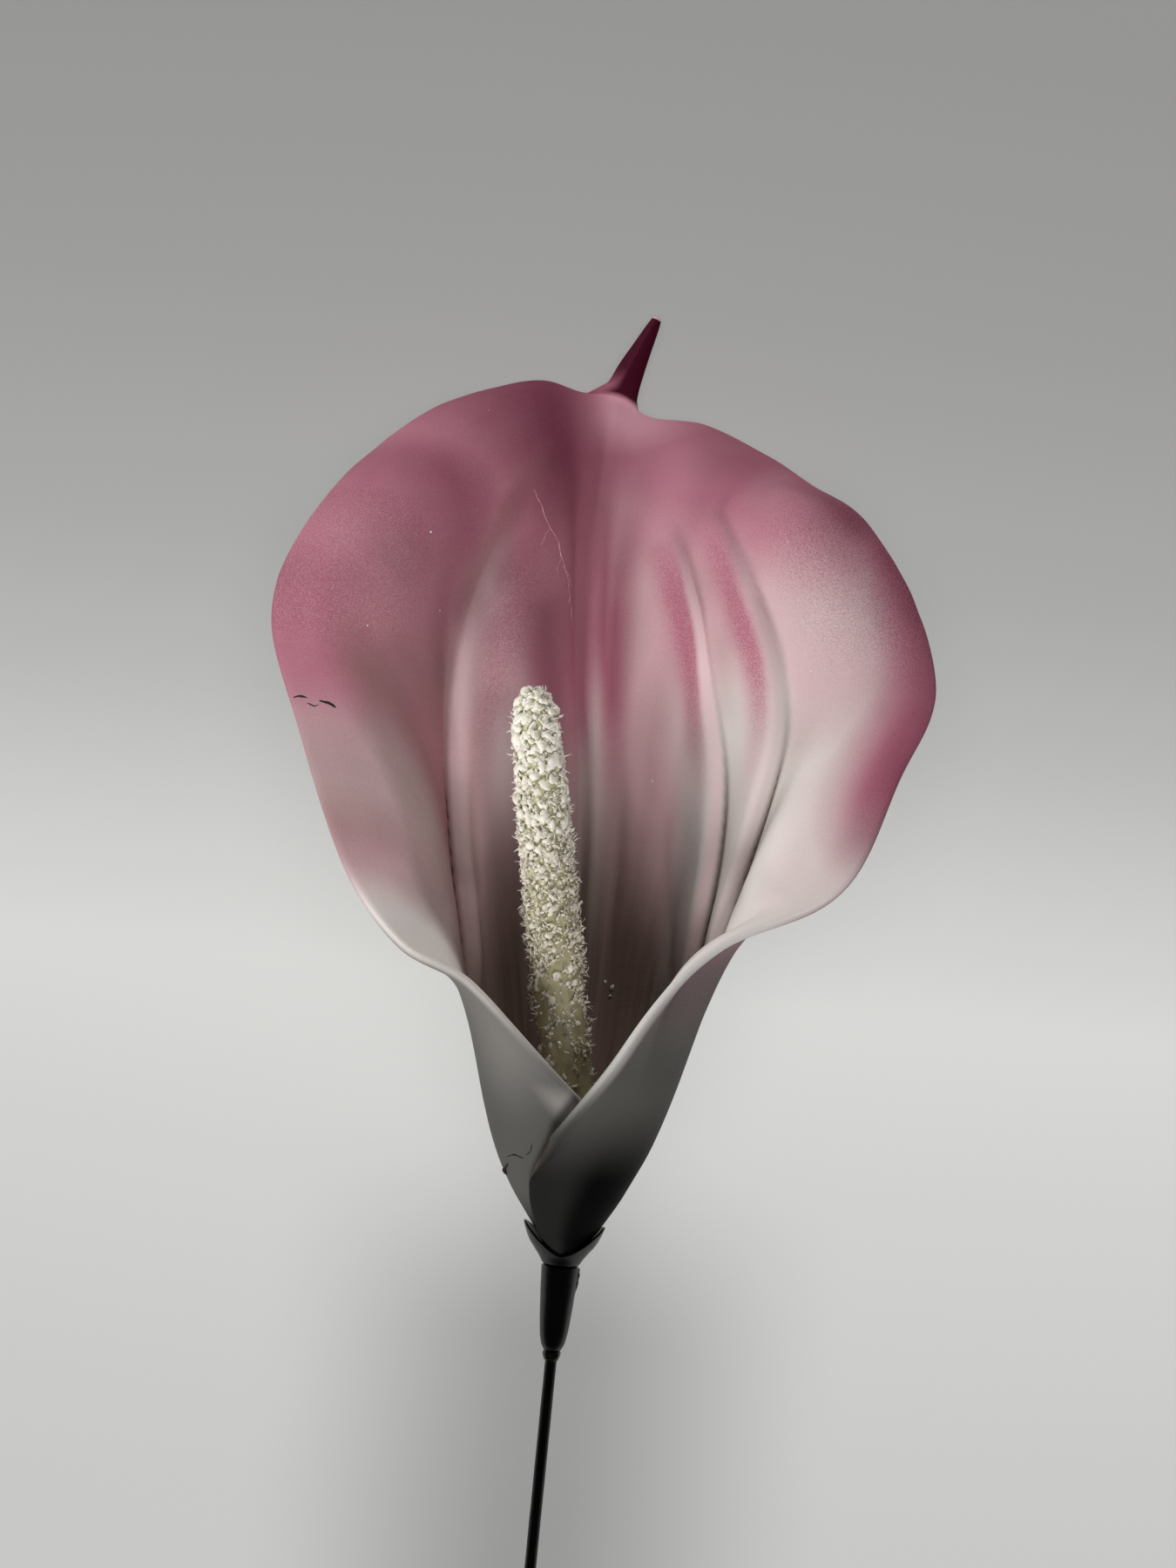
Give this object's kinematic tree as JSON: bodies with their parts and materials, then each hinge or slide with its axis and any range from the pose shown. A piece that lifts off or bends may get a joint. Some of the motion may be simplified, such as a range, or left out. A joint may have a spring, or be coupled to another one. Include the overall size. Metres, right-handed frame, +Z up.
{
  "type": "artificial calla lily flower",
  "caption": "Artificial calla lily: a rolled foam spathe flaring round a crumbed spadix, on a thin coated wire stem, lying on its back.",
  "frame": {"origin": "middle of the outline seen from above, at the surface that the flower lies on", "axes": "+Y runs from the cut end of the stem toward the tip of the flower, +Z points up out of the open mouth, +X is to the right of the flower seen from its front"},
  "size_m": [0.0934, 0.3508, 0.0355],
  "materials": {
    "spathe_foam": "satin",
    "core_foam": "matte",
    "crumb_foam": "matte",
    "calyx_plastic": "satin",
    "sleeve_plastic": "gloss",
    "glue": "gloss",
    "wire_steel": "satin",
    "stem_plastic": "satin"
  },
  "bodies": {
    "root": {"spathe": "spathe_foam", "spadix_core": "core_foam", "spadix_crumbs": "crumb_foam", "calyx_cup": "calyx_plastic", "stem_sleeve": "sleeve_plastic", "glue_bead": "glue", "stem_wire": "wire_steel", "stem_coating": "stem_plastic"}
  },
  "joints": []
}
